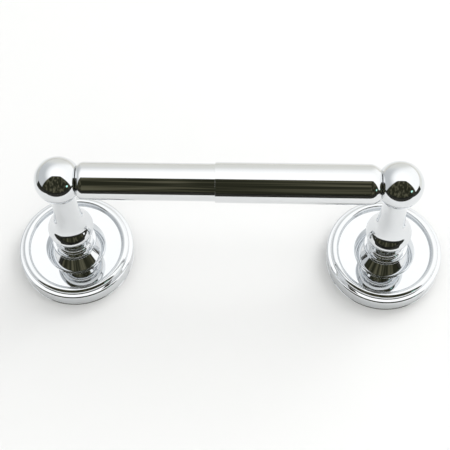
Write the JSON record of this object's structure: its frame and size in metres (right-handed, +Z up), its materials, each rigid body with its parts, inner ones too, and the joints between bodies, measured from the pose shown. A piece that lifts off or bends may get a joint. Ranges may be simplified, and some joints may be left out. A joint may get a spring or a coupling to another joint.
{
  "type": "toilet paper holder",
  "caption": "Wall-mounted toilet paper holder: round stepped flanges, turned posts with ball heads, and a telescopic spring-loaded roller between them, in polished chrome.",
  "frame": {"origin": "on the wall plane, midway between the two posts and in line with their axes", "axes": "+X along the roller, from the post at the smaller sleeve to the post at the larger one; +Y into the wall; +Z up"},
  "size_m": [0.2262, 0.0927, 0.0612],
  "materials": {
    "chrome": "mirror-polished chrome plate",
    "zinc": "satin cast zinc",
    "steel": "zinc-plated steel"
  },
  "bodies": {
    "posts": {"left_wall_bracket": "zinc", "left_flange": "chrome", "left_pedestal": "chrome", "left_stem": "chrome", "left_head": "chrome", "left_tie_rod": "steel", "left_lock_washer": "steel", "left_nut": "steel", "left_set_screw": "steel", "right_wall_bracket": "zinc", "right_flange": "chrome", "right_pedestal": "chrome", "right_stem": "chrome", "right_head": "chrome", "right_tie_rod": "steel", "right_lock_washer": "steel", "right_nut": "steel", "right_set_screw": "steel"},
    "larger_half": {"outer_sleeve": "chrome", "outer_end_pin": "zinc", "roller_spring": "steel"},
    "smaller_half": {"inner_sleeve": "chrome", "inner_end_pin": "zinc"}
  },
  "joints": [
    {"name": "roller_spin", "type": "hinge", "parent": "posts", "child": "larger_half", "pos_m": [0, -0.081, 0], "axis": [1, 0, 0], "continuous": true},
    {"name": "roller_slide", "type": "slide", "parent": "larger_half", "child": "smaller_half", "axis": [1, 0, 0], "range_m": [0, 0.011], "stiffness_N_per_m": 300, "springref_m": -0.02, "deforming": ["roller_spring"]}
  ]
}
